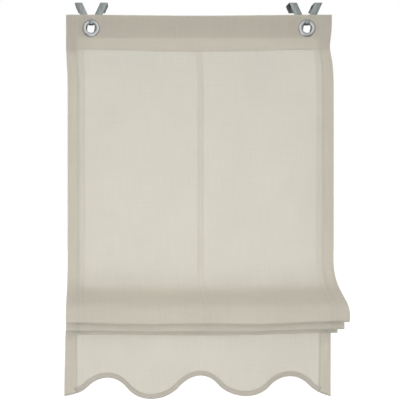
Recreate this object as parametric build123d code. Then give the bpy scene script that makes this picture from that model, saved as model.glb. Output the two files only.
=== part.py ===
from build123d import *
import math
import os

# Roman blind with a scalloped foot, hung from a window sash by two spring hooks and drawn up into pleats.
# Millimetres. +X is to the right seen from the room, +Y is towards the window and +Z is up.
# The origin is the middle of the sash's top front edge, which the hooks' seats rest on.

# Cloth panel
blind_width = 600.0
blind_drop = 890.0  # from the hook seats down to the lowest point of the scalloped foot
cloth_thickness = 0.8
side_hem = 25.0
header_top = 29.0  # from the hook seats down to the header's upper edge
header_height = 80.0
seam_allowance = 8.0  # cloth turned in along the header's foot

# Pleat stack. Drops are below the hook seats, and reaches are in front of the panel.
stack_break = 626.0  # where the panel's line turns forward
stack_drop = 121.0  # from that turn down to the last pleat's bottom
stack_depth = 62.0  # reach of the first pleat
pleat_reach_shares = (1.0, 0.68, 0.26)  # of the stack's depth
pleat_shoulder_shares = (0.43, 0.727, 0.628)  # of the stack's drop
pleat_bottom_shares = (0.70, 0.868, 1.0)  # of the stack's drop
pleat_nose_shares = (0.306, 0.16, 0.145)  # width of each rounded bottom, of the stack's depth
crease_drop = 17.0  # from the stack's break down to the first crease
crease_pitch = 16.0
crease_reach = 13.0  # of the first crease
crease_setback = 7.5  # of each crease behind the one above it
crease_gap = 5.0  # between the two layers that meet in a crease
fold_softness_share = 0.47  # of the shorter run beside a fold that its round takes up

# Scalloped foot and its binding
scallop_pitch = 207.0
scallop_height = 44.0  # from crest to valley
scallop_crest_share = 0.46  # of the pitch that a crest's arc takes up
binding_width = 11.0
binding_thickness = 0.8
binding_clearance = 0.2  # between the cloth's cut edge and the binding's fold

# Header stiffener
stiffener_thickness = 0.8
stiffener_height = 50.0
stiffener_margin = 3.0  # free space above it and at its ends

# Lift tapes and rings on the back
tape_width = 13.0
tape_thickness = 0.8
tape_clearance = 0.5  # from the hem and from the header's foot
tape_tail = 22.0  # below the last crease, on the flap
ring_pitch = 200.0  # between rows on the panel
ring_radius = 5.1
ring_wall = 1.8
ring_height = 1.8
ring_seat_gap = 0.2

# Eyelets and the washers behind the header
eyelet_inset = 56.5  # from the blind's side edge to an eyelet's centre
eyelet_below_top = 31.0  # from the header's upper edge to an eyelet's centre
eyelet_radius = 19.5
eyelet_hole_radius = 10.4
eyelet_gauge = 0.6  # of the neck and its set end
eyelet_rim = 0.6  # thickness at the outer edge
eyelet_dome = 2.4
eyelet_set_reach = 2.2  # how far the set end turns out past the hole
washer_radius = 18.6
washer_gauge = 0.8
eyelet_clearance = 0.3  # round the eyelet's neck in the cloth and the washer

# Spring hooks, each one bent strip of steel
hook_gauge = 1.2
hook_bend = 1.5  # inside radius
hook_sash = 18.0  # sash edge that the hook slips over
hook_sash_clearance = 0.5
hook_return = 15.0  # length of the strip that grips behind the sash
hook_arm_inner = 20.5  # inner edge of an arm at the seat, from the hook's middle
hook_arm_width = 17.0  # measured level, at the seat
hook_arm_taper_share = 0.446  # inward run of an arm's outer edge for each unit of fall
hook_notch = 44.0  # from the seats down to the notch between the arms
hook_notch_round = 2.0
hook_web_foot = 48.0  # from the seats down to the web's lower edge
hook_web_round = 4.0
hook_tongue_width = 10.0
hook_tab = 10.0  # height of the turned-up end in front of the eyelet
hook_corner_round = 2.0
hook_tab_gap = 0.3  # between the turned-up end and the eyelet's dome
hook_rest_gap = 0.2  # between the tongue's edges and the eyelet's hole

overrun = 5.0  # cutting tools pass this far beyond what they cut

# Derived places
header_thickness = 2 * cloth_thickness + stiffener_thickness
# The eyelet's back stands off the hook's web by the inside bend of the tongue.
panel_front = -(hook_gauge + hook_bend + eyelet_gauge + washer_gauge + header_thickness)
header_back = panel_front + header_thickness
header_foot = header_top + header_height
eyelet_level = -(header_top + eyelet_below_top)
half_width = blind_width / 2
neck_bore = eyelet_hole_radius + eyelet_gauge + eyelet_clearance
hem_inner = half_width - side_hem
pleat_count = len(pleat_reach_shares)
last_crease_level = stack_break + crease_drop + crease_pitch * (pleat_count - 1)
flap_reach = crease_reach - crease_setback * (pleat_count - 1) - crease_gap
flap_front = panel_front - flap_reach


def fold_point(reach, drop):
    """A point of the cloth's front face, by its reach before the panel and its drop below the seats."""
    return (panel_front - reach, -drop)


def crease_ends(number):
    """The front and back corners of a crease, the first of which is number 0."""
    front = crease_reach - crease_setback * number
    level = stack_break + crease_drop + crease_pitch * number
    return [fold_point(front, level), fold_point(front - crease_gap, level)]


def pleat_points():
    """Corners of the pleats from the first shoulder to the last crease."""
    points = []
    rows = zip(pleat_reach_shares, pleat_shoulder_shares, pleat_bottom_shares, pleat_nose_shares)
    for number, (reach_share, shoulder_share, bottom_share, nose_share) in enumerate(rows):
        reach = stack_depth * reach_share
        bottom = stack_break + stack_drop * bottom_share
        points.append(fold_point(reach, stack_break + stack_drop * shoulder_share))
        points.append(fold_point(reach, bottom))
        points.append(fold_point(reach - stack_depth * nose_share, bottom))
        points += crease_ends(number)
    return points


def corner_round(before, corner, after):
    """Radius of the soft fold at a corner, and the length of each run that it takes up."""
    run_in = Vector(corner) - Vector(before)
    run_out = Vector(after) - Vector(corner)
    half_turn = math.radians(run_in.get_angle(run_out)) / 2
    used = fold_softness_share * min(run_in.length, run_out.length)
    return used / math.tan(half_turn), used


def fold_line(points, depth):
    """The folded line through the points, softly rounded, moved by depth towards the cloth's back."""
    runs = [Vector(after) - Vector(before) for before, after in zip(points, points[1:])]
    normals = [Vector(-run.Y, run.X) / run.length for run in runs]
    moved = [Vector(points[0]) + normals[0] * depth]
    radii = []
    for index, (normal_in, normal_out) in enumerate(zip(normals, normals[1:])):
        before, corner, after = points[index : index + 3]
        moved.append(Vector(corner) + (normal_in + normal_out) * (depth / (1 + normal_in.dot(normal_out))))
        turns_to_back = normal_in.cross(normal_out).Z > 0
        radius, _ = corner_round(before, corner, after)
        radii.append(radius - depth if turns_to_back else radius + depth)
    moved.append(Vector(points[-1]) + normals[-1] * depth)
    return FilletPolyline(*moved, radius=radii)


def layer(points, start, thickness):
    """Section of a layer on the back of the folded line, from start to start + thickness."""
    front = fold_line(points, start)
    back = fold_line(points, start + thickness)
    ends = [Line(front @ 0, back @ 0), Line(front @ 1, back @ 1)]
    return make_face(front.edges() + back.edges() + [end.edge() for end in ends])


def extrude_across(face, x_low, x_high):
    """Carries a section drawn as (y, z) across the blind."""
    return Pos(x_low, 0, 0) * extrude(Plane.YZ * face, x_high - x_low)


def block(x_range, y_range, z_range):
    """A block between two limits on each axis."""
    size = [high - low for low, high in (x_range, y_range, z_range)]
    middle = [(high + low) / 2 for low, high in (x_range, y_range, z_range)]
    return Pos(*middle) * Box(*size)


def scallop_edge(rise):
    """Arcs of the foot's wave, moved up square to itself by rise."""
    lean = 2 * math.atan(2 * scallop_height / scallop_pitch)
    waves = math.ceil(half_width / scallop_pitch)
    arcs = []
    for half_wave in range(-2 * waves, 2 * waves + 1):
        is_crest = half_wave % 2 == 0
        side = 1 if is_crest else -1
        width_share = scallop_crest_share if is_crest else 1 - scallop_crest_share
        radius = scallop_pitch * width_share / (2 * math.sin(lean))
        tip = scallop_height - blind_drop if is_crest else -blind_drop
        centre = Vector(scallop_pitch / 2 * half_wave, 0, tip - side * radius)
        bulge = side * radius + rise
        top = centre + Vector(0, 0, bulge)
        left = centre + Vector(-side * bulge * math.sin(lean), 0, bulge * math.cos(lean))
        right = centre + Vector(side * bulge * math.sin(lean), 0, bulge * math.cos(lean))
        arcs.append(ThreePointArc(left, top, right))
    return arcs


def foot_region(rise, level):
    """Face in the XZ plane between the wave moved up by rise and a level line."""
    arcs = scallop_edge(rise)
    start = arcs[0] @ 0
    end = arcs[-1] @ 1
    close = Polyline(end, (end.X, 0, level), (start.X, 0, level), start)
    return make_face([arc.edge() for arc in arcs] + list(close.edges()))


def through(face, y_low, y_high):
    """Carries a face drawn in the XZ plane from y_low to y_high."""
    return Pos(0, y_low, 0) * extrude(face, y_high - y_low, dir=(0, 1, 0))


def eyelet_places():
    return {"left": eyelet_inset - half_width, "right": half_width - eyelet_inset}


def eyelet_axis(x):
    return Axis((x, panel_front, eyelet_level), (0, 1, 0))


def eyelet_plane(x):
    """Half section of an eyelet: local X runs out from its axis and local Y towards the room."""
    return Plane((x, panel_front, eyelet_level), x_dir=(1, 0, 0), z_dir=(0, 0, -1))


def eyelet_opening(x):
    """A cutter for the round opening that the eyelet's neck passes through."""
    length = header_thickness + 2 * overrun
    middle = panel_front + header_thickness / 2
    return Pos(x, middle, eyelet_level) * Rot(90, 0, 0) * Cylinder(neck_bore, length)


def make_cloth():
    """The whole blind as one folded sheet with its turned header and side hems."""
    panel_top = [fold_point(0, header_top), fold_point(0, stack_break)]
    flap_foot = [fold_point(flap_reach, blind_drop)]
    turned_header = [fold_point(-header_thickness, header_foot), fold_point(-header_thickness, header_top)]
    sheet_line = turned_header + panel_top + pleat_points() + flap_foot
    cloth = extrude_across(layer(sheet_line, 0, cloth_thickness), -half_width, half_width)

    # The side hems lie as a second layer on the back, and fill the ends of the header's pocket.
    hem_top = [fold_point(0, header_foot), fold_point(0, stack_break)]
    hem_section = layer(hem_top + pleat_points() + flap_foot, 0, 2 * cloth_thickness)
    pocket = (panel_front + cloth_thickness / 2, header_back - cloth_thickness / 2)
    for low, high in ((-half_width, -hem_inner), (hem_inner, half_width)):
        cloth += extrude_across(hem_section, low, high)
        cloth += block((low, high), pocket, (-header_foot, -(header_top + cloth_thickness / 2)))

    # The header's lower edge is turned in and sewn through both layers.
    cloth += block((-half_width, half_width), pocket, (-header_foot, seam_allowance - header_foot))

    for x in eyelet_places().values():
        cloth -= eyelet_opening(x)
    below_foot = foot_region(binding_clearance, -(blind_drop + overrun))
    return cloth - through(below_foot, flap_front - overrun, flap_front + overrun)


def make_binding():
    """The narrow folded tape that wraps the scalloped edge between the side hems."""
    outside = foot_region(-binding_thickness, -last_crease_level)
    fold = foot_region(0, -last_crease_level)
    above = foot_region(binding_width, -last_crease_level)
    flap_back = flap_front + cloth_thickness
    band = outside - above
    edge = outside - fold
    binding = through(band, flap_front - binding_thickness, flap_front)
    binding += through(band, flap_back, flap_back + binding_thickness)
    binding += through(edge, flap_front, flap_back)
    levels = (-(blind_drop + overrun), -last_crease_level)
    depth = (flap_front - overrun, flap_back + overrun)
    return binding & block((-hem_inner, hem_inner), depth, levels)


def make_stiffener():
    """The stiff strip inside the header's pocket, punched for the eyelets."""
    across = (stiffener_margin - hem_inner, hem_inner - stiffener_margin)
    depth = (panel_front + cloth_thickness, header_back - cloth_thickness)
    top = -(header_top + stiffener_margin)
    strip = block(across, depth, (top - stiffener_height, top))
    for x in eyelet_places().values():
        strip -= eyelet_opening(x)
    return strip


def tape_places():
    side = hem_inner - tape_clearance - tape_width / 2
    return {"left": -side, "centre": 0, "right": side}


def make_tape(x):
    """A lift tape on the back of the cloth, through every fold."""
    top = [fold_point(0, header_foot + tape_clearance), fold_point(0, stack_break)]
    tail = [fold_point(flap_reach, last_crease_level + tape_tail)]
    section = layer(top + pleat_points() + tail, cloth_thickness, tape_thickness)
    return extrude_across(section, x - tape_width / 2, x + tape_width / 2)


def ring_rows():
    """Places (y, z) of the tape's back where a ring is sewn, from the top row down."""
    back = cloth_thickness + tape_thickness
    points = pleat_points()
    break_point = fold_point(0, stack_break)
    _, used = corner_round(fold_point(0, header_top), break_point, points[0])
    lowest = used - stack_break
    count = int((lowest + header_foot) / -ring_pitch) + 1
    rows = [(panel_front + back, lowest + ring_pitch * row) for row in reversed(range(count))]
    points.append(fold_point(flap_reach, blind_drop))
    for number in range(pleat_count):
        front, rear = crease_ends(number)
        after = points[points.index(rear) + 1]
        radius, used = corner_round(front, rear, after)
        rows.append((rear[0] - used + radius + back, rear[1] - radius))
    return rows


def make_ring(x, y, z):
    """A lift ring that lies level, with its near edge at the tape."""
    centre = y + ring_seat_gap + ring_radius
    ring = Cylinder(ring_radius, ring_height)
    hole = Cylinder(ring_radius - ring_wall, ring_height + 2 * overrun)
    return Pos(x, centre, z) * (ring - hole)


def make_eyelet_front(x):
    """The domed ring with its neck, whose end is set over the washer at the back."""
    neck = eyelet_hole_radius + eyelet_gauge
    set_radius = eyelet_hole_radius + eyelet_set_reach
    washer_back = -(header_thickness + washer_gauge)
    crest = ((eyelet_radius + eyelet_hole_radius) / 2, eyelet_dome)
    dome = ThreePointArc((eyelet_radius, eyelet_rim), crest, (eyelet_hole_radius, eyelet_rim))
    sides = Polyline(
        (eyelet_hole_radius, eyelet_rim),
        (eyelet_hole_radius, washer_back - eyelet_gauge),
        (set_radius, washer_back - eyelet_gauge),
        (set_radius, washer_back),
        (neck, washer_back),
        (neck, 0),
        (eyelet_radius, 0),
        (eyelet_radius, eyelet_rim),
    )
    section = make_face(dome.edges() + sides.edges())
    return revolve(eyelet_plane(x) * section, eyelet_axis(x))


def make_eyelet_washer(x):
    """The flat ring behind the header that the eyelet's neck is set over."""
    width = washer_radius - neck_bore
    middle = (neck_bore + width / 2, -(header_thickness + washer_gauge / 2))
    section = Pos(*middle) * Rectangle(width, washer_gauge)
    return revolve(eyelet_plane(x) * section, eyelet_axis(x))


def make_hook(x):
    """A V of flat strip: two arms over the sash, and a tongue through the eyelet that turns up in front."""
    half_tongue = hook_tongue_width / 2
    chord = math.sqrt(eyelet_hole_radius**2 - half_tongue**2)
    tongue_top = eyelet_level + chord - hook_rest_gap
    tongue_foot = tongue_top - hook_gauge
    tab_front = panel_front - eyelet_dome - hook_tab_gap - hook_gauge
    gap = hook_sash + hook_sash_clearance
    outer_bend = hook_bend + hook_gauge
    arm_outer = hook_arm_inner + hook_arm_width

    clip_line = FilletPolyline(
        (gap, -hook_return),
        (gap, 0),
        (0, 0),
        (0, -hook_web_foot),
        radius=hook_bend,
    )
    clip_section = make_face(clip_line.offset_2d(hook_gauge, side=Side.RIGHT))
    clip = extrude_across(clip_section, -arm_outer, arm_outer)

    web_half = arm_outer - hook_arm_taper_share * hook_web_foot
    rim = hook_gauge + overrun
    corner_radii = [0, 0, hook_bend, hook_web_round, hook_web_round, hook_bend, 0, 0]
    corner_radii += [hook_bend, hook_notch_round, hook_bend]
    outline = FilletPolyline(
        (-hook_arm_inner, rim),
        (-arm_outer, rim),
        (-arm_outer, 0),
        (-web_half, -hook_web_foot),
        (web_half, -hook_web_foot),
        (arm_outer, 0),
        (arm_outer, rim),
        (hook_arm_inner, rim),
        (hook_arm_inner, 0),
        (0, -hook_notch),
        (-hook_arm_inner, 0),
        close=True,
        radius=corner_radii,
    )
    front_view = Plane.XZ * make_face(outline)
    clip &= Pos(0, gap + outer_bend, 0) * extrude(front_view, gap + outer_bend + overrun)

    tongue_line = FilletPolyline(
        (0, -hook_web_foot),
        (0, tongue_foot),
        (tab_front, tongue_foot),
        (tab_front, tongue_foot + hook_tab),
        radius=outer_bend,
    )
    tongue_section = make_face(tongue_line.offset_2d(hook_gauge, side=Side.RIGHT))
    tongue = extrude_across(tongue_section, -half_tongue, half_tongue)
    tongue = fillet(tongue.edges().filter_by(Axis.Y).group_by(Axis.Z)[-1], hook_corner_round)
    return Pos(x, 0, 0) * (clip + tongue)


parts = {
    "blind_cloth": make_cloth(),
    "scallop_binding": make_binding(),
    "header_stiffener": make_stiffener(),
}
for side_name, place in eyelet_places().items():
    parts[f"eyelet_front_{side_name}"] = make_eyelet_front(place)
    parts[f"eyelet_washer_{side_name}"] = make_eyelet_washer(place)
    parts[f"sash_hook_{side_name}"] = make_hook(place)
for side_name, place in tape_places().items():
    parts[f"lift_tape_{side_name}"] = make_tape(place)
    for row_number, (row_y, row_z) in enumerate(ring_rows(), start=1):
        parts[f"lift_ring_{side_name}_{row_number}"] = make_ring(place, row_y, row_z)

os.makedirs("parts", exist_ok=True)
for node, shape in parts.items():
    export_step(shape, f"parts/{node}.step")
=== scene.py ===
import bisect
import cmath
import math
from collections import namedtuple

import bmesh
import bpy
from mathutils import Matrix, Vector, noise


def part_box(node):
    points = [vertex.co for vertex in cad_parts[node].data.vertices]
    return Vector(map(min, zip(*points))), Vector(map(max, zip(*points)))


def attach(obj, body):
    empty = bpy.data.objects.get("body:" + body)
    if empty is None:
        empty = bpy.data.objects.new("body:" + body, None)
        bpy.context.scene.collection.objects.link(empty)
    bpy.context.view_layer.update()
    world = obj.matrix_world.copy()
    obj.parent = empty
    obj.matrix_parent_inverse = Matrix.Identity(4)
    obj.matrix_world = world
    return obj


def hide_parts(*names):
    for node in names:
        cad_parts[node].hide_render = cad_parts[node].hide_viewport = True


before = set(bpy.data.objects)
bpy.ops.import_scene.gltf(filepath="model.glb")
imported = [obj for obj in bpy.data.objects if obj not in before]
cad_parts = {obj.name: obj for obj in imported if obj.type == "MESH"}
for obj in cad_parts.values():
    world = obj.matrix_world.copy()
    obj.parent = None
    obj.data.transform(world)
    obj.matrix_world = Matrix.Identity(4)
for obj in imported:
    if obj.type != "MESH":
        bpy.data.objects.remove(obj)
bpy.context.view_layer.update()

# Roman blind: hung linen cloth with hems, tapes, rings, binding, eyelets and sash hooks.
# Metres. +X is to the right seen from the room, +Y is towards the window and +Z is up.

cloth_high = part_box("blind_cloth")[1]
stiffener_low, stiffener_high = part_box("header_stiffener")

# Cloth as it was cut and sewn
cloth_gauge = 0.00042
layer_gap = 0.00006  # between two layers that lie on each other
solid_gauge = 0.0008  # cloth thickness in the frame
header_height = 0.080
header_sewn_share = 0.012  # of its height, sewn flat at its back edge
header_slope_share = 0.09  # of its height, where its back meets the stiffener's pocket
pressed_shares = (0.16, 0.03)  # of its height, where its back edge starts to lie closer and where it does
side_hem = 0.025

# Folds, as drops below the hook seats and reaches before the panel
stack_break = 0.626
stack_drop = 0.121
stack_depth = 0.062
pleat_reach_shares = (1.0, 0.68, 0.26)
pleat_shoulder_shares = (0.43, 0.727, 0.628)
pleat_bottom_shares = (0.70, 0.868, 1.0)
pleat_nose_shares = (0.306, 0.16, 0.145)
crease_drop = 0.017
crease_pitch = 0.016
crease_reach = 0.013
crease_setback = 0.0075
crease_gap = 0.005
fold_softness_share = 0.47
blind_drop = 0.890

# Scalloped foot and binding
scallop_pitch = 0.207
scallop_height = 0.044
scallop_crest_share = 0.46
binding_width = 0.011
binding_gauge = 0.00045
binding_edge_round = 0.0006
binding_edge_flat = 0.0022  # from the binding's edge to the next point of its section
binding_rises = (0.006, 0.003, 0.0)  # further points of its section, above the wave
binding_tuck_share = 0.8  # of its gauge that its edge turns in
binding_seam_inset = 0.0016
binding_turn_step = 0.028  # in arcs of the wave
foot_clearance = 0.0002  # between the cloth's cut edge and the binding's fold
hem_turns = (2.0, 3.0)  # arcs of the wave between which the right hem's inner edge lies
hem_turn_step = 0.001

# Tapes and rings
tape_gauge = 0.00035
tape_stop = 0.0005  # from the header's foot down to a tape's upper end
tape_tail = 0.022
ring_edge_round = 0.0006
tack_round = 0.00028
tack_spacing = 0.0009
tack_reach_share = 0.72  # of a ring's height

# Eyelets, washers and hooks
eyelet_set_width = 0.0022  # of the neck's turned end
eyelet_wall = 0.0006
washer_clearance = 0.0009
washer_round = 0.00028
hook_edge_round = 0.00016

# How the cloth hangs out of true
panel_lean = 0.0036  # sideways, below the header
reach_lean_share = 0.06  # sideways, of a fold's reach
flap_lean = -0.0042  # sideways, at the foot
flap_flare = 0.0026  # sideways, at the flap's right edge
scallop_skew = 0.0085  # sideways, at the left flanks of the scallop's crests
scallop_lead = 0.030  # of those flanks before the crests' tops
waist_pull = -0.0045  # sideways, at the header's right lower corner
waist_rise = 0.008  # of that pull's middle above the header's foot
waist_reach = 0.026
lean_start = 0.015  # above the header's foot, where the panel's lean sets in
lean_end = 0.080  # below it, where the lean is full
header_sag = 0.0022  # fall of the header's upper edge between the eyelets
header_bow = 0.0042  # fall of its lower edge
stack_tilt = 0.0036  # rise of the pleats at the right end
pleat_sag = 0.0022  # fall of the pleats between two tapes
panel_ripple = 0.0016
flap_fold = 0.0052
flap_fold_pitch = 0.213
foot_fall = -0.0028  # of the whole foot
foot_slant = 0.0048  # rise on the right half and fall on the left
foot_wave = 0.0015
foot_dip = 0.0042  # fall at the right, about the dip's place and reach as shares of the half width
foot_dip_share = 0.72
foot_dip_reach_share = 0.26
crinkle_height = 0.00022
seam_dimple = 0.00030  # how far a row of stitches draws the cloth in
seam_reach = 0.0016

# Grid steps down the cloth and across it
header_step = 0.0030
panel_step = 0.0100
pleat_step = 0.0070
flap_step = 0.0060
turn_step = math.radians(14)
column_step = 0.0125
eyelet_step = 0.0030
eyelet_field = 0.0225  # half of the finer grid round an eyelet

# Derived places
panel_front = stiffener_low.y - solid_gauge
header_back = stiffener_high.y + solid_gauge
half_width = cloth_high.x
hem_inner = half_width - side_hem
header_top = cloth_high.z
header_foot = header_top - header_height
pleat_count = len(pleat_reach_shares)
hem_depth = 2 * cloth_gauge + layer_gap
last_crease_level = -(stack_break + crease_drop + crease_pitch * (pleat_count - 1))
flap_reach = crease_reach - crease_setback * (pleat_count - 1) - crease_gap
flap_front = panel_front - flap_reach
flap_length = blind_drop + last_crease_level
SIDES = ("left", "right")
TAPES = ("left", "centre", "right")
ring_nodes = sorted(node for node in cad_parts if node.startswith("lift_ring"))
tape_boxes = {side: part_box(f"lift_tape_{side}") for side in TAPES}
tape_middles = {side: (low.x + high.x) / 2 for side, (low, high) in tape_boxes.items()}
tape_half = (tape_boxes["centre"][1].x - tape_boxes["centre"][0].x) / 2
eyelet_boxes = {side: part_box(f"eyelet_front_{side}") for side in SIDES}
eyelet_centres = {side: (low + high) / 2 for side, (low, high) in eyelet_boxes.items()}
eyelet_radius = (eyelet_boxes["left"][1].x - eyelet_boxes["left"][0].x) / 2
eyelet_level = eyelet_centres["left"].z
hole_radius = 0.0104
cloth_hole_radius = 0.0118
tape_seam_inset = 0.0011  # of a row of stitches from the tape's edge
hem_seam_inset = 0.0022
tape_seam_reach = tape_half - tape_seam_inset
seam_columns = [middle + way * tape_seam_reach for middle in tape_middles.values() for way in (-1, 1)]
seam_columns += [way * (hem_inner + hem_seam_inset) for way in (-1, 1)]

Station = namedtuple("Station", "place back length")


def ease(low, high, value):
    """Smooth step from 0 at low to 1 at high."""
    share = min(max((value - low) / (high - low), 0.0), 1.0)
    return share * share * (3 - 2 * share)


# Folded profile. A place is a complex number, y as its real part and z as its imaginary part.


def fold_point(reach, drop):
    return complex(panel_front - reach, -drop)


def fold_corners():
    """Corners of the cloth's face, from the header's sewn edge over the top and down to the foot."""
    sewn_back = panel_front + 2 * hem_depth
    corners = [
        complex(sewn_back, header_foot),
        complex(sewn_back, header_foot + header_height * header_sewn_share),
        complex(header_back, header_foot + header_height * header_slope_share),
        complex(header_back, header_top),
        complex(panel_front, header_top),
        fold_point(0, stack_break),
    ]
    shares = zip(pleat_reach_shares, pleat_shoulder_shares, pleat_bottom_shares, pleat_nose_shares)
    for number, (reach_share, shoulder_share, bottom_share, nose_share) in enumerate(shares):
        reach = stack_depth * reach_share
        bottom = stack_break + stack_drop * bottom_share
        crease_front = crease_reach - crease_setback * number
        crease_level = stack_break + crease_drop + crease_pitch * number
        corners += [
            fold_point(reach, stack_break + stack_drop * shoulder_share),
            fold_point(reach, bottom),
            fold_point(reach - stack_depth * nose_share, bottom),
            fold_point(crease_front, crease_level),
            fold_point(crease_front - crease_gap, crease_level),
        ]
    corners.append(fold_point(flap_reach, blind_drop))
    return corners


def folded_profile(corners, steps):
    """Stations along the rounded folds: place, way to the cloth's back and length from the start."""
    stations = []

    def add(place, way):
        length = stations[-1].length + abs(place - stations[-1].place) if stations else 0.0
        stations.append(Station(place, way * 1j, length))

    here = corners[0]
    for number, corner in enumerate(corners[1:], start=1):
        run = corner - corners[number - 1]
        way = run / abs(run)
        is_last = number == len(corners) - 1
        next_run = run if is_last else corners[number + 1] - corner
        used = 0.0 if is_last else fold_softness_share * min(abs(run), abs(next_run))
        end = corner - way * used
        count = max(1, math.ceil(abs(end - here) / steps[number - 1]))
        for step in range(count):
            add(here + (end - here) * step / count, way)
        if is_last:
            add(end, way)
            break
        turn = cmath.phase(next_run / run)
        centre = end + way * 1j * math.copysign(used / math.tan(abs(turn) / 2), turn)
        count = math.ceil(abs(turn) / turn_step)
        for step in range(count):
            spin = cmath.rect(1, turn * step / count)
            add(centre + (end - centre) * spin, way * spin)
        here = corner + next_run / abs(next_run) * used
    return stations


header_runs = 4
corners = fold_corners()
run_steps = [header_step] * header_runs + [panel_step]
run_steps += [pleat_step] * (len(corners) - 2 - len(run_steps)) + [flap_step]
profile = folded_profile(corners, run_steps)
profile_lengths = [station.length for station in profile]
top_length = next(station.length for station in profile if station.place.real <= panel_front + cloth_gauge)
flap_top = fold_point(flap_reach, -last_crease_level)
flap_start = next(
    station.length for station in profile
    if station.length > top_length and abs(station.place - flap_top) < crease_gap / 2
)


def station_at(length):
    """The station at a length along the cloth, between two of the profile's."""
    index = min(max(bisect.bisect_right(profile_lengths, length), 1), len(profile) - 1)
    before, after = profile[index - 1], profile[index]
    share = (length - before.length) / (after.length - before.length)
    back = before.back + (after.back - before.back) * share
    return Station(before.place + (after.place - before.place) * share, back / abs(back), length)


def panel_length(z):
    """Length along the cloth at a level of the panel's front, above the pleats."""
    return top_length + (header_top - z)


# The scalloped foot, as arcs that turn about alternate sides

half_wave = scallop_pitch / 2
wave_lean = 2 * math.atan(scallop_height / half_wave)
crest_width = scallop_pitch * scallop_crest_share


def wave_arc(number):
    """Side, radius and centre (x, z) of an arc of the foot. Even numbers are crests, 0 the middle one."""
    side = 1 if number % 2 == 0 else -1
    width = crest_width if side > 0 else scallop_pitch - crest_width
    tip = scallop_height - blind_drop if side > 0 else -blind_drop
    radius = width / (2 * math.sin(wave_lean))
    return side, radius, half_wave * number, tip - side * radius


def foot_level(x):
    """Level of the foot's edge at x."""
    crest = round(x / scallop_pitch)
    past = x - crest * scallop_pitch
    number = 2 * crest if abs(past) <= crest_width / 2 else 2 * crest + int(math.copysign(1, past))
    side, radius, middle, level = wave_arc(number)
    return level + side * math.sqrt(radius**2 - (x - middle) ** 2)


def foot_place(turn, rise):
    """Point (x, z) on the foot's wave, moved up square to it. The turn counts arcs from the middle crest."""
    number = round(turn)
    side, radius, middle, level = wave_arc(number)
    angle = 2 * wave_lean * (turn - number)
    bulge = radius + side * rise
    return middle + bulge * math.sin(angle), level + side * bulge * math.cos(angle)


# How the cloth hangs


def foot_swing(side):
    """Rise of the scalloped foot out of true, by the share of the half width."""
    swing = foot_fall + foot_slant * math.sin(math.pi * side) + foot_wave * math.cos(2 * math.pi * side)
    return swing - foot_dip * math.exp(-(((side - foot_dip_share) / foot_dip_reach_share) ** 2))


def hang(x, y, z, flap):
    """Moves a point of the folded cloth to where it hangs. Flap is its length below the last crease, or 0."""
    side = x / half_width
    reach = max(panel_front - y, 0.0)
    below = ease(header_foot + lean_start, header_foot - lean_end, z)
    low = ease(header_foot, -stack_break, z)
    on_flap = ease(0.0, flap_length, flap)
    behind = ease(0.0, 0.4 * flap_length, flap)

    shift = panel_lean * below + reach_lean_share * reach
    shift += (flap_lean * (0.3 + 0.7 * on_flap) - shift) * behind
    waist = math.exp(-(((z - header_foot - waist_rise) / waist_reach) ** 2))
    shift += waist_pull * waist * ease(0.55, 1.0, side)
    shift += flap_flare * ease(0.5, 1.0, side) * behind
    flank = 0.5 + 0.5 * math.cos(2 * math.pi * (x + scallop_lead) / scallop_pitch)
    shift += scallop_skew * flank * on_flap * ease(-1.0, -0.88, side) * (1 - 0.5 * ease(0.2, 0.6, side))

    sag = max(1 - (x / eyelet_centres["right"].x) ** 2, 0.0) ** 1.5
    fall = header_sag + (header_bow - header_sag) * ease(header_top, header_foot, z)
    fall *= sag * (1 - 0.7 * low)
    rise = stack_tilt * ease(0.05, 1.0, side) * low
    rise -= pleat_sag * math.sin(math.pi * x / tape_middles["right"]) ** 2 * min(reach / stack_depth, 1.0)
    rise = (rise - fall) * (1 - on_flap) + foot_swing(side) * on_flap

    ripple = noise.noise(Vector((x * 5.5, z * 2.6, 0.4)))
    ripple += 0.4 * noise.noise(Vector((x * 13.0, z * 4.0, 3.1)))
    out = panel_ripple * ripple * below
    folds = math.sin(2 * math.pi * x / flap_fold_pitch + 1.0)
    folds += 0.7 * noise.noise(Vector((x * 14.0, 7.3, z * 3.0)))
    out += flap_fold * folds * on_flap
    return Vector((x + shift, y + out, z + rise))


def dimple(x):
    """How far the rows of upright stitches draw the face in at x."""
    return seam_dimple * max(math.exp(-(((x - column) / seam_reach) ** 2)) for column in seam_columns)


def drape(x, station, depth, pressed=0.0):
    """A point of the hung cloth, depth behind its face."""
    sewn = ease(top_length, panel_length(header_foot), station.length)
    crinkle = noise.noise(Vector((x * 31.0, station.length * 15.0, 1.7))) * crinkle_height
    spot = station.place + station.back * (depth + pressed + crinkle * sewn)
    return hang(x, spot.real, spot.imag, max(station.length - flap_start, 0.0))


# Making pieces


def finish_piece(name, bm, material, nodes):
    """Turns a bmesh into a piece that rides on the blind and stands for the nodes."""
    mesh = bpy.data.meshes.new(name)
    bm.to_mesh(mesh)
    bm.free()
    for polygon in mesh.polygons:
        polygon.use_smooth = True
    mesh.materials.append(material)
    piece = bpy.data.objects.new(name, mesh)
    bpy.context.scene.collection.objects.link(piece)
    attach(piece, "root")
    if nodes:
        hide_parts(*nodes)
    return piece


def thicken(piece, gauge):
    """Gives a sheet its thickness, from its face towards its back."""
    solidify = piece.modifiers.new("thickness", "SOLIDIFY")
    solidify.thickness = gauge
    solidify.offset = 1.0


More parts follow.
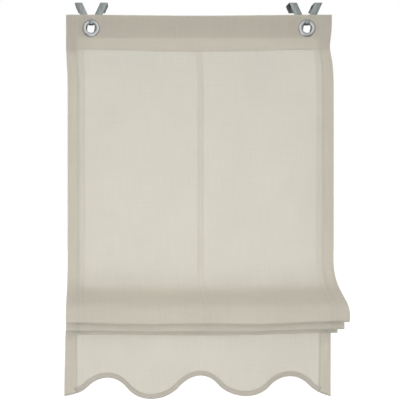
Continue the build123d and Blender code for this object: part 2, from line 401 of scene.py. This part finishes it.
def woven_grid(column_count, row_count, place):
    """A grid whose points place(column, row) puts in space, with their flat place as a UV map in metres."""
    bm = bmesh.new()
    bmesh.ops.create_grid(bm, x_segments=column_count - 1, y_segments=row_count - 1, size=0.5)
    flat_places = {}
    for vert in bm.verts:
        column = round((vert.co.x + 0.5) * (column_count - 1))
        row = round((vert.co.y + 0.5) * (row_count - 1))
        vert.co, flat_places[vert] = place(column, row)
    flat_map = bm.loops.layers.uv.new("flat")
    for face in bm.faces:
        for loop in face.loops:
            loop[flat_map].uv = flat_places[loop.vert]
    return bm


def spread(low, high, step):
    """Evenly spaced values from low to high, at most step apart."""
    count = max(1, math.ceil((high - low) / step))
    return [low + (high - low) * number / count for number in range(count + 1)]


# Cloth


def front_columns():
    """Places across the front, closer at the rows of stitches and round the eyelets."""
    turn_radius = hem_depth / 2
    edge = half_width - turn_radius
    wanted = set()
    for column in seam_columns:
        wanted.update(column + way * seam_reach for way in (-2.0, -0.8, 0.0, 0.8, 2.0))
    for centre in eyelet_centres.values():
        wanted.update(spread(centre.x - eyelet_field, centre.x + eyelet_field, eyelet_step))
    kept = [-edge]
    for x in sorted(wanted | {edge}):
        if edge - x < seam_reach and x != edge or x - kept[-1] < seam_reach / 2:
            continue
        kept += spread(kept[-1], x, column_step)[1:]
    return kept


def across_columns():
    """Columns (x, depth behind the face, flat place) from one hem's inner edge round to the other's."""
    turn_radius = hem_depth / 2
    edge = half_width - turn_radius
    turns = [math.pi * number / 6 for number in range(1, 6)]
    hem = spread(hem_inner, edge, side_hem / 5)
    right_turn = [(edge + turn_radius * math.sin(turn), turn_radius * (1 - math.cos(turn))) for turn in turns]
    right = right_turn + [(x, hem_depth) for x in reversed(hem)]
    left = [(-x, depth) for x, depth in reversed(right)]
    columns = left + [(x, 0.0) for x in front_columns()] + right
    flat = [0.0]
    for before, after in zip(columns, columns[1:]):
        flat.append(flat[-1] + math.dist(before, after))
    middle = flat[-1] / 2
    return [(x, depth, place - middle) for (x, depth), place in zip(columns, flat)]


def trimmed(station, x):
    """A station of the flap drawn up to the scalloped edge at x."""
    trim_top = scallop_height - blind_drop + 2 * binding_width
    z = station.place.imag
    if z >= trim_top or station.length < flap_start:
        return station
    share = (foot_level(x) + foot_clearance - trim_top) / (-blind_drop - trim_top)
    level = trim_top + (z - trim_top) * share
    return Station(complex(station.place.real, level), station.back, station.length - (level - z))


def make_cloth(material):
    """The whole sheet: turned header, panel, pleats and flap, with both side hems folded behind."""
    columns = across_columns()
    foot_seam = panel_length(header_foot)

    def place(column, row):
        x, depth, flat_x = columns[column]
        station = trimmed(profile[row], x)
        pressed = dimple(x) if depth == 0.0 and station.length > foot_seam else 0.0
        if station.length < top_length:
            # The header's back edge lies on the panel between the hems, where there are fewer layers.
            start, full = (header_height * share for share in pressed_shares)
            sewn = ease(start, full, station.length)
            pressed = hem_depth * sewn * ease(hem_inner, hem_inner - side_hem, abs(x))
        return drape(x, station, depth, pressed), (flat_x, station.length)

    bm = woven_grid(len(columns), len(profile), place)
    cut_eyelet_holes(bm)
    piece = finish_piece("hung_cloth", bm, material, ["blind_cloth"])
    thicken(piece, cloth_gauge)
    return piece


def cut_eyelet_holes(bm):
    """Opens the header's layers for the eyelets and draws the cut edges to a circle."""
    for centre in eyelet_centres.values():
        middle = Vector((centre.x, 0, centre.z))

        def away(vert):
            return Vector((vert.co.x - middle.x, 0, vert.co.z - middle.z))

        def inside(face):
            return all(away(vert).length < cloth_hole_radius for vert in face.verts)

        near = [face for face in bm.faces if inside(face)]
        bmesh.ops.delete(bm, geom=near, context="FACES")
        for vert in bm.verts:
            radius = away(vert).length
            if vert.is_boundary and radius < 2 * cloth_hole_radius:
                vert.co += away(vert) * (cloth_hole_radius / radius - 1)


# Binding, tapes and rings


def turn_at_hem(rise):
    """The turn of the foot's wave, moved up by the rise, at the right hem's inner edge."""
    turns = spread(*hem_turns, hem_turn_step)
    return next(turn for turn in turns if foot_place(turn, rise)[0] >= hem_inner)


def make_binding(material):
    """The folded tape round the scalloped edge between the hems."""
    turn_end = turn_at_hem(0.0)
    turns = spread(-turn_end, turn_end, binding_turn_step)
    fold_radius = cloth_gauge / 2 + layer_gap + binding_gauge
    middle = flap_front + cloth_gauge / 2
    tuck = binding_gauge * binding_tuck_share
    leg = [(binding_width, fold_radius - tuck), (binding_width - binding_edge_round, fold_radius)]
    leg += [(rise, fold_radius) for rise in (binding_width - binding_edge_flat, *binding_rises)]
    bend_turns = [math.pi * number / 6 for number in range(1, 6)]
    bend = [(-fold_radius * math.sin(turn), fold_radius * math.cos(turn)) for turn in bend_turns]
    section = [(rise, -out) for rise, out in leg] + [(rise, -out) for rise, out in bend]
    section += [(rise, out) for rise, out in reversed(leg)]

    def place(column, row):
        rise, out = section[row]
        x, z = foot_place(turns[column], rise)
        flap = last_crease_level - z
        along = turns[column] * half_wave * wave_lean / math.sin(wave_lean)
        return hang(x, middle + out, z, flap), (along, row * binding_width / 6)

    bm = woven_grid(len(turns), len(section), place)
    piece = finish_piece("foot_binding", bm, material, ["scallop_binding"])
    thicken(piece, binding_gauge)
    return piece


def tape_stations():
    start = panel_length(header_foot - tape_stop)
    end = flap_start + tape_tail
    inside = [station for station in profile if start < station.length < end]
    return [station_at(start)] + inside + [station_at(end)]


def make_tape(side, material):
    """A lift tape on the back of the cloth, through every fold."""
    stations = tape_stations()
    shares = (-1.0, -0.9, -0.5, 0.0, 0.5, 0.9, 1.0)

    def place(column, row):
        across = shares[column] * tape_half
        lift = cloth_gauge + layer_gap - 0.4 * layer_gap * abs(shares[column]) ** 6
        x = tape_middles[side] + across
        return drape(x, stations[row], lift, dimple(x)), (across, stations[row].length)

    bm = woven_grid(len(shares), len(stations), place)
    piece = finish_piece(f"sewn_tape_{side}", bm, material, [f"lift_tape_{side}"])
    thicken(piece, tape_gauge)
    return piece


def spun_piece(section, centre, axis, across, up, steps):
    """A ring turned from a closed section of (radius, height) points."""
    bm = bmesh.new()
    verts = [bm.verts.new(centre + across * radius + up * height) for radius, height in section]
    edges = [bm.edges.new((before, after)) for before, after in zip(verts, verts[1:] + verts[:1])]
    bmesh.ops.spin(
        bm, geom=verts + edges, cent=centre, axis=axis, angle=2 * math.pi, steps=steps, use_merge=True
    )
    bmesh.ops.remove_doubles(bm, verts=bm.verts, dist=1e-6)
    bmesh.ops.recalc_face_normals(bm, faces=bm.faces)
    return bm


def arc(centre, radius, start, end, count):
    """Points of an arc in a section, with the angles in degrees."""
    angles = [math.radians(start + (end - start) * number / count) for number in range(count + 1)]
    return [(centre[0] + radius * math.cos(angle), centre[1] + radius * math.sin(angle)) for angle in angles]


def rounded_section(inner, outer, low, high, radius, count):
    """A rectangle between two radii and two heights, with round corners."""
    corners = [
        ((outer - radius, high - radius), 0),
        ((inner + radius, high - radius), 90),
        ((inner + radius, low + radius), 180),
        ((outer - radius, low + radius), 270),
    ]
    return [point for centre, start in corners for point in arc(centre, radius, start, start + 90, count)]


def ring_rest(node):
    """Where a ring hangs with its tape: the middle of its node, moved with the cloth."""
    low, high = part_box(node)
    middle = (low + high) / 2
    edge = hang(middle.x, low.y, middle.z, 0.0)
    return edge + Vector((0, middle.y - low.y, 0)), low, high


def make_ring(node, material):
    """A moulded lift ring that lies level at its tape."""
    centre, low, high = ring_rest(node)
    radius = (high.x - low.x) / 2
    height = high.z - low.z
    section = rounded_section(radius - height, radius, -height / 2, height / 2, ring_edge_round, 3)
    bm = spun_piece(section, centre, Vector((0, 0, 1)), Vector((0, 1, 0)), Vector((0, 0, 1)), 28)
    return finish_piece(node.replace("lift_ring", "tape_ring"), bm, material, [node])


def make_tacks(material):
    """Three turns of thread that hold each ring to its tape."""
    bm = bmesh.new()
    for node in ring_nodes:
        centre, low, high = ring_rest(node)
        height = high.z - low.z
        near = centre - Vector((0, (high.y - low.y) / 2 - height / 2, 0))
        for offset in (-tack_spacing, 0.0, tack_spacing):
            verts = []
            for corner in range(6):
                angle = math.pi * corner / 3
                loop_radius = height * tack_reach_share + tack_round * math.sin(angle)
                section = Vector((tack_round * math.cos(angle), 0, loop_radius))
                verts.append(bm.verts.new(near + Vector((offset, 0, 0)) + section))
            edges = [bm.edges.new((before, after)) for before, after in zip(verts, verts[1:] + verts[:1])]
            bmesh.ops.spin(
                bm, geom=verts + edges, cent=near, axis=Vector((1, 0, 0)),
                angle=2 * math.pi, steps=12, use_merge=True,
            )
    bmesh.ops.remove_doubles(bm, verts=bm.verts, dist=1e-6)
    bmesh.ops.recalc_face_normals(bm, faces=bm.faces)
    return finish_piece("ring_tacks", bm, material, [])


# Eyelets, washers and hooks


def make_eyelet(side, material):
    """The domed ring with its neck and its set end."""
    low, high = eyelet_boxes[side]
    crest = panel_front - low.y
    back = high.y - panel_front
    set_radius = hole_radius + eyelet_set_width
    neck = hole_radius + eyelet_wall
    curl = 0.0010
    rim = 0.0003
    middle = (eyelet_radius + hole_radius) / 2
    half = (eyelet_radius - hole_radius) / 2
    turns = [math.pi * number / 16 for number in range(17)]
    section = [(middle + half * math.cos(turn), rim + (crest - rim) * math.sin(turn)) for turn in turns]
    section += arc((hole_radius + curl, curl - back), curl, 180, 270, 5)
    section += arc((set_radius - rim, rim - back), rim, 270, 360, 3)
    section += [(set_radius - rim, 2 * rim - back), (neck + rim, 2 * rim - back), (neck, 3 * rim - back)]
    section += [(neck, 0.0), (eyelet_radius - rim, 0.0)]
    centre = Vector((eyelet_centres[side].x, panel_front, eyelet_level))
    bm = spun_piece(section, centre, Vector((0, 1, 0)), Vector((1, 0, 0)), Vector((0, -1, 0)), 96)
    return finish_piece(f"nickel_eyelet_{side}", bm, material, [f"eyelet_front_{side}"])


def make_washer(side, material):
    """The ring behind the header."""
    low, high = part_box(f"eyelet_washer_{side}")
    radius = (high.x - low.x) / 2
    heights = (low.y - panel_front, high.y - panel_front)
    section = rounded_section(hole_radius + washer_clearance, radius, *heights, washer_round, 3)
    centre = Vector((eyelet_centres[side].x, panel_front, eyelet_level))
    bm = spun_piece(section, centre, Vector((0, 1, 0)), Vector((1, 0, 0)), Vector((0, 1, 0)), 72)
    return finish_piece(f"nickel_washer_{side}", bm, material, [f"eyelet_washer_{side}"])


def make_hook(side, material):
    """The bent steel strip, with its sharp edges eased."""
    node = f"sash_hook_{side}"
    bm = bmesh.new()
    bm.from_mesh(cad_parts[node].data)
    bmesh.ops.remove_doubles(bm, verts=bm.verts, dist=1e-6)
    bmesh.ops.dissolve_limit(bm, angle_limit=math.radians(1), verts=bm.verts, edges=bm.edges)
    sharp = [edge for edge in bm.edges if edge.is_manifold and edge.calc_face_angle() > math.radians(40)]
    bmesh.ops.bevel(
        bm, geom=sharp, offset=hook_edge_round, segments=2, profile=0.5, affect="EDGES", material=-1,
        clamp_overlap=True,
    )
    piece = finish_piece(f"bent_hook_{side}", bm, material, [node])
    piece.data.set_sharp_from_angle(angle=math.radians(35))
    return piece


# Stitches

stitch_length = 0.0026
stitch_pitch = 0.0033
stitch_round = 0.00020


def add_stitch(bm, start, end, outward):
    """One stitch, a slim grain that lies along its seam."""
    along = (end - start).normalized()
    outward = (outward - along * outward.dot(along)).normalized()
    across = outward.cross(along)
    turned = Matrix((along, across, outward)).transposed().to_4x4()
    size = Matrix.Diagonal((stitch_length / 2, stitch_round, stitch_round, 1.0))
    spot = Matrix.Translation((start + end) / 2)
    bmesh.ops.create_icosphere(bm, subdivisions=1, radius=1.0, matrix=spot @ turned @ size)


def sew(bm, ends, outwards):
    """A row of stitches between pairs of ends, made apart and then added, so that long seams stay quick."""
    row = bmesh.new()
    for (start, end), outward in zip(ends, outwards):
        add_stitch(row, start, end, outward)
    row_mesh = bpy.data.meshes.new("row")
    row.to_mesh(row_mesh)
    row.free()
    bm.from_mesh(row_mesh)
    bpy.data.meshes.remove(row_mesh)


def sew_down(bm, x, low_length, high_length, depth, to_back):
    """An upright row on the cloth at x, on its face or on the back of its layers."""
    count = int((high_length - low_length) / stitch_pitch)
    stations = [station_at(low_length + stitch_pitch * number) for number in range(count + 1)]
    points = [drape(x, station, depth, dimple(x)) for station in stations]
    ways = [station.back if to_back else -station.back for station in stations]
    sew(bm, zip(points, points[1:]), [Vector((0, way.real, way.imag)) for way in ways])


def sew_header(bm, station, pressed, outward):
    """The row along the header's lower edge, on its face or on its turned back."""
    xs = spread(-half_width + stitch_pitch, half_width - stitch_pitch, stitch_pitch)
    points = [drape(x, station, 0.0, pressed * ease(hem_inner, hem_inner - side_hem, abs(x))) for x in xs]
    sew(bm, zip(points, points[1:]), [outward] * len(points))


def sew_binding(bm, way):
    """The row along the binding's upper edge. Way is -1 in front and 1 behind."""
    rise = binding_width - binding_seam_inset
    out = cloth_gauge / 2 + way * (cloth_gauge / 2 + layer_gap + binding_gauge)
    turn_end = turn_at_hem(rise)
    turns = spread(-turn_end, turn_end, stitch_pitch * math.sin(wave_lean) / (half_wave * wave_lean))
    places = [foot_place(turn, rise) for turn in turns]
    points = [hang(x, flap_front + out, z, last_crease_level - z) for x, z in places]
    sew(bm, zip(points, points[1:]), [Vector((0, way, 0))] * len(points))


def make_stitches(material):
    """All rows of stitches: header foot, hems, tapes and binding."""
    front = bmesh.new()
    back = bmesh.new()
    seam_rise = 0.0022
    sew_header(front, station_at(panel_length(header_foot + seam_rise)), 0.0, Vector((0, -1, 0)))
    sew_header(back, station_at(seam_rise), hem_depth, Vector((0, 1, 0)))
    seam_top = panel_length(header_foot) + stitch_pitch
    for way in (-1, 1):
        x = way * (hem_inner + hem_seam_inset)
        seam_end = profile[-1].length - (foot_level(x) + blind_drop) - stitch_pitch
        sew_down(front, x, seam_top, seam_end, 0.0, False)
        sew_down(back, x, seam_top, seam_end, hem_depth, True)
    tape_back = cloth_gauge + layer_gap + tape_gauge
    for middle in tape_middles.values():
        for way in (-1, 1):
            x = middle + way * tape_seam_reach
            sew_down(front, x, seam_top, flap_start + tape_tail, 0.0, False)
            sew_down(back, x, seam_top, flap_start + tape_tail, tape_back, True)
    sew_binding(front, -1)
    sew_binding(back, 1)
    return [
        finish_piece("stitches_front", front, material, []),
        finish_piece("stitches_back", back, material, []),
    ]


# Materials


def new_material(name):
    """A material with its node tree and shader."""
    material = bpy.data.materials.new(name)
    material.use_nodes = True
    tree = material.node_tree
    shader = tree.nodes["Principled BSDF"]
    return material, tree, shader


def add_node(tree, kind, **inputs):
    """A node with some of its inputs set by name, with spaces written as underscores."""
    node = tree.nodes.new(kind)
    for name, value in inputs.items():
        node.inputs[name.replace("_", " ")].default_value = value
    return node


def maths(tree, operation, first, second):
    """A maths node of two values, either of which may be a socket."""
    node = tree.nodes.new("ShaderNodeMath")
    node.operation = operation
    for socket, value in zip(node.inputs, (first, second)):
        if isinstance(value, (int, float)):
            socket.default_value = value
        else:
            tree.links.new(value, socket)
    return node.outputs[0]


def blended(tree, first, first_share, second, second_share):
    """The sum of a share of each of two values."""
    first_part = maths(tree, "MULTIPLY", first, first_share)
    second_part = maths(tree, "MULTIPLY", second, second_share)
    return maths(tree, "ADD", first_part, second_part)


def stretched_noise(tree, vector, scale, detail):
    """Noise drawn out by a scale for each axis."""
    mapping = add_node(tree, "ShaderNodeMapping", Scale=scale)
    tree.links.new(vector, mapping.inputs["Vector"])
    texture = add_node(tree, "ShaderNodeTexNoise", Scale=1.0, Detail=detail, Roughness=0.55)
    tree.links.new(mapping.outputs["Vector"], texture.inputs["Vector"])
    return texture.outputs["Fac"]


def yarns(tree, vector, direction, pitch):
    """Rows of yarn across one direction, as bands."""
    wave = add_node(tree, "ShaderNodeTexWave", Scale=0.314 / pitch, Distortion=0.6, Detail=1.0)
    wave.inputs["Detail Scale"].default_value = 0.4
    wave.bands_direction = direction
    tree.links.new(vector, wave.inputs["Vector"])
    return wave.outputs["Fac"]


def toned(tree, dark, light, factor):
    """A colour between two by a factor."""
    ramp = tree.nodes.new("ShaderNodeValToRGB")
    ramp.color_ramp.elements[0].position = 0.25
    ramp.color_ramp.elements[1].position = 0.75
    ramp.color_ramp.elements[0].color = (*dark, 1)
    ramp.color_ramp.elements[1].color = (*light, 1)
    tree.links.new(factor, ramp.inputs["Fac"])
    return ramp.outputs["Color"]


def bumped(tree, height, strength, distance):
    """A bump from a height, as a normal."""
    bump = add_node(tree, "ShaderNodeBump", Strength=strength, Distance=distance)
    tree.links.new(height, bump.inputs["Height"])
    return bump.outputs["Normal"]


def scaled(colour, share):
    return tuple(channel * share for channel in colour)


def linen(name, colour, through, share_through, yarn_pitch):
    """Woven cloth that lets some light through, with slubs along both yarns."""
    material, tree, shader = new_material(name)
    flat = tree.nodes.new("ShaderNodeUVMap")
    flat.uv_map = "flat"
    place = flat.outputs["UV"]
    warp_slubs = stretched_noise(tree, place, (420.0, 14.0, 1.0), 3.0)
    weft_slubs = stretched_noise(tree, place, (12.0, 460.0, 1.0), 3.0)
    cloud = stretched_noise(tree, place, (9.0, 7.0, 1.0), 2.0)
    slubs = blended(tree, warp_slubs, 0.5, weft_slubs, 0.4)
    tone = blended(tree, slubs, 0.85, cloud, 0.24)
    weave = maths(tree, "MULTIPLY", yarns(tree, place, "X", yarn_pitch), yarns(tree, place, "Y", yarn_pitch))
    height = maths(tree, "ADD", maths(tree, "MULTIPLY", weave, 0.55), slubs)
    normal = bumped(tree, height, 0.35, 0.0004)
    face_colour = toned(tree, scaled(colour, 0.92), scaled(colour, 1.06), tone)
    tree.links.new(face_colour, shader.inputs["Base Color"])
    tree.links.new(normal, shader.inputs["Normal"])
    shader.inputs["Roughness"].default_value = 0.88
    shader.inputs["Specular IOR Level"].default_value = 0.18
    shader.inputs["Sheen Weight"].default_value = 0.06
    shader.inputs["Sheen Roughness"].default_value = 0.5
    glow = tree.nodes.new("ShaderNodeBsdfTranslucent")
    tree.links.new(toned(tree, scaled(through, 0.95), scaled(through, 1.04), tone), glow.inputs["Color"])
    tree.links.new(normal, glow.inputs["Normal"])
    mix = add_node(tree, "ShaderNodeMixShader", Fac=share_through)
    tree.links.new(shader.outputs["BSDF"], mix.inputs[1])
    tree.links.new(glow.outputs["BSDF"], mix.inputs[2])
    tree.links.new(mix.outputs["Shader"], tree.nodes["Material Output"].inputs["Surface"])
    return material


def object_place(tree):
    return tree.nodes.new("ShaderNodeTexCoord").outputs["Object"]


def plated_metal(name, dark, light, smooth, rough, streak_scale):
    """Plated metal with fine streaks in its colour and gloss."""
    material, tree, shader = new_material(name)
    place = object_place(tree)
    streaks = stretched_noise(tree, place, streak_scale, 4.0)
    tree.links.new(toned(tree, dark, light, streaks), shader.inputs["Base Color"])
    gloss = add_node(tree, "ShaderNodeMapRange")
    gloss.inputs["To Min"].default_value = smooth
    gloss.inputs["To Max"].default_value = rough
    tree.links.new(streaks, gloss.inputs["Value"])
    tree.links.new(gloss.outputs["Result"], shader.inputs["Roughness"])
    tree.links.new(bumped(tree, streaks, 0.06, 0.0002), shader.inputs["Normal"])
    shader.inputs["Metallic"].default_value = 1.0
    return material


def moulded_plastic(name, dark, light):
    """Milky moulded plastic with faint flow marks."""
    material, tree, shader = new_material(name)
    marks = stretched_noise(tree, object_place(tree), (300.0, 300.0, 900.0), 3.0)
    tree.links.new(toned(tree, dark, light, marks), shader.inputs["Base Color"])
    tree.links.new(bumped(tree, marks, 0.08, 0.0002), shader.inputs["Normal"])
    shader.inputs["Roughness"].default_value = 0.32
    shader.inputs["Transmission Weight"].default_value = 0.25
    return material


def felt_with_shade_fade(name, dark, light, edge, shade_fade):
    """Stiff non-woven strip with pressed fibres. It blocks light from behind as a real stiffener does, and
    its fade from part see-through at its lower edge to full cover above is painted shade, the soft lower edge
    of a shadow on the header.
    """
    material, tree, shader = new_material(name)
    place = object_place(tree)
    fibres = stretched_noise(tree, place, (700.0, 200.0, 500.0), 5.0)
    tree.links.new(toned(tree, dark, light, fibres), shader.inputs["Base Color"])
    tree.links.new(bumped(tree, fibres, 0.3, 0.0003), shader.inputs["Normal"])
    shader.inputs["Roughness"].default_value = 0.9
    split_place = tree.nodes.new("ShaderNodeSeparateXYZ")
    tree.links.new(place, split_place.inputs["Vector"])
    # Painted shade: the cover grows with height, so the header darkens upwards as if under a shadow from
    # behind.
    cover = add_node(tree, "ShaderNodeMapRange", From_Min=edge, From_Max=edge + shade_fade, To_Min=0.45)
    tree.links.new(split_place.outputs["Z"], cover.inputs["Value"])
    tree.links.new(cover.outputs["Result"], shader.inputs["Alpha"])
    return material


def sewing_thread(name, dark, light):
    """Twisted thread."""
    material, tree, shader = new_material(name)
    twist = stretched_noise(tree, object_place(tree), (1400.0, 1400.0, 1400.0), 2.0)
    tree.links.new(toned(tree, dark, light, twist), shader.inputs["Base Color"])
    tree.links.new(bumped(tree, twist, 0.25, 0.0002), shader.inputs["Normal"])
    shader.inputs["Roughness"].default_value = 0.7
    return material


linen_colour = (0.765, 0.702, 0.652)
# Colour of the light the linen lets through. It is partly the cloth's own colour and partly painted light:
# its cool tint stands in for cooler light from the window behind.
linen_through_window_tint = (0.906, 0.923, 0.860)
cloth_linen = linen("cloth_linen", linen_colour, linen_through_window_tint, 0.60, 0.0009)
binding_linen = linen("binding_linen", scaled(linen_colour, 0.95), scaled(linen_through_window_tint, 0.97), 0.52, 0.0008)
tape_weave = linen("tape_weave", (0.90, 0.90, 0.88), (0.94, 0.94, 0.92), 0.80, 0.0007)
nickel = plated_metal(
    "bright_nickel", (0.24, 0.245, 0.25), (0.33, 0.335, 0.34), 0.28, 0.40, (60.0, 900.0, 60.0)
)
zinc = plated_metal("dull_zinc", (0.14, 0.155, 0.155), (0.245, 0.26, 0.26), 0.38, 0.56, (260.0, 260.0, 24.0))
ring_plastic = moulded_plastic("milky_plastic", (0.74, 0.74, 0.71), (0.84, 0.84, 0.81))
strip_height = stiffener_high.z - stiffener_low.z
# The felt's fade over its height is painted shade on the header, the soft edge of a shadow from behind.
felt_and_shade = felt_with_shade_fade("felt_and_shade", (0.44, 0.40, 0.33), (0.55, 0.51, 0.43), stiffener_low.z, strip_height)
thread = sewing_thread("linen_thread", (0.52, 0.49, 0.42), (0.66, 0.63, 0.55))

# The blind

hung_cloth = make_cloth(cloth_linen)
foot_binding = make_binding(binding_linen)
sewn_tapes = [make_tape(side, tape_weave) for side in TAPES]
for ring_node in ring_nodes:
    make_ring(ring_node, ring_plastic)
ring_tacks = make_tacks(thread)
seams = make_stitches(thread)
for hung_side in SIDES:
    make_eyelet(hung_side, nickel)
    make_washer(hung_side, nickel)
hooks = [make_hook(side, zinc) for side in SIDES]
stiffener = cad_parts["header_stiffener"]
stiffener.data.materials.clear()
stiffener.data.materials.append(felt_and_shade)

# Floor, light and camera

floor_level = -1.4
floor_size = 14.0
floor_glow = 0.82  # so that the camera sees the floor white
floor_bm = bmesh.new()
bmesh.ops.create_grid(floor_bm, x_segments=1, y_segments=1, size=floor_size / 2)
bmesh.ops.translate(floor_bm, verts=floor_bm.verts, vec=(0, 0, floor_level))
floor_mesh = bpy.data.meshes.new("studio_floor")
floor_bm.to_mesh(floor_mesh)
floor_bm.free()
floor = bpy.data.objects.new("studio_floor", floor_mesh)
bpy.context.scene.collection.objects.link(floor)
floor_material, floor_tree, floor_shader = new_material("pale_floor")
floor_shader.inputs["Base Color"].default_value = (0.7, 0.7, 0.7, 1)
floor_shader.inputs["Roughness"].default_value = 0.9
floor_shader.inputs["Specular IOR Level"].default_value = 0.0
floor_shader.inputs["Emission Color"].default_value = (1, 1, 1, 1)
seen = floor_tree.nodes.new("ShaderNodeLightPath").outputs["Is Camera Ray"]
glow_seen = maths(floor_tree, "MULTIPLY", seen, floor_glow)
floor_tree.links.new(glow_seen, floor_shader.inputs["Emission Strength"])
floor_mesh.materials.append(floor_material)

room_light = 0.34
window_light = 0.60  # from the side of the window, behind the blind
light_turn = 0.3  # how far about the blind's plane the one passes into the other
world = bpy.data.worlds.new("soft_studio")
world.use_nodes = True
bpy.context.scene.world = world
world_tree = world.node_tree
backdrop = world_tree.nodes["Background"]
backdrop.inputs["Color"].default_value = (1, 1, 1, 1)
split = world_tree.nodes.new("ShaderNodeSeparateXYZ")
world_tree.links.new(world_tree.nodes.new("ShaderNodeTexCoord").outputs["Generated"], split.inputs["Vector"])
light = add_node(
    world_tree, "ShaderNodeMapRange",
    From_Min=-light_turn, From_Max=light_turn, To_Min=room_light, To_Max=window_light,
)
world_tree.links.new(split.outputs["Y"], light.inputs["Value"])
paths = world_tree.nodes.new("ShaderNodeLightPath")
shown = maths(world_tree, "MAXIMUM", paths.outputs["Is Camera Ray"], paths.outputs["Is Transmission Ray"])
shown = maths(world_tree, "MAXIMUM", shown, paths.outputs["Is Glossy Ray"])
strength = maths(world_tree, "MAXIMUM", shown, light.outputs["Result"])
world_tree.links.new(strength, backdrop.inputs["Strength"])


def add_soft_light(name, place, target, size, power):
    """A large square lamp that looks at a target."""
    lamp = bpy.data.lights.new(name, "AREA")
    lamp.size = size
    lamp.energy = power
    lamp_object = bpy.data.objects.new(name, lamp)
    lamp_object.location = place
    lamp_object.rotation_euler = (Vector(target) - Vector(place)).to_track_quat("-Z", "Y").to_euler()
    bpy.context.scene.collection.objects.link(lamp_object)


stack_middle = (0, panel_front, -stack_break)
add_soft_light("low_light", (-0.1, -1.0, -0.62), stack_middle, 0.7, 5.7)
add_soft_light("high_light", (0.3, -2.5, 0.9), stack_middle, 1.8, 18.6)

photo_width = 400  # pixels
panel_pixel = 0.0022556  # metres on the panel for each pixel
view_distance = 0.9497  # from the camera to the panel
view_left = -0.178
view_level = -0.4475
middle_pixel = 199.0  # of the blind's middle
sensor_width = 36.0
view_width = panel_pixel * photo_width  # metres on the panel across the picture
middle_share = (middle_pixel - photo_width / 2) / photo_width
camera_data = bpy.data.cameras.new("camera")
camera_data.sensor_width = sensor_width
camera_data.lens = sensor_width * view_distance / view_width
camera_data.shift_x = -view_left / view_width - middle_share
camera = bpy.data.objects.new("camera", camera_data)
camera.location = (view_left, panel_front - view_distance, view_level)
camera.rotation_euler = (math.pi / 2, 0, 0)
bpy.context.scene.collection.objects.link(camera)
bpy.context.scene.camera = camera
bpy.context.scene.view_settings.view_transform = "Standard"
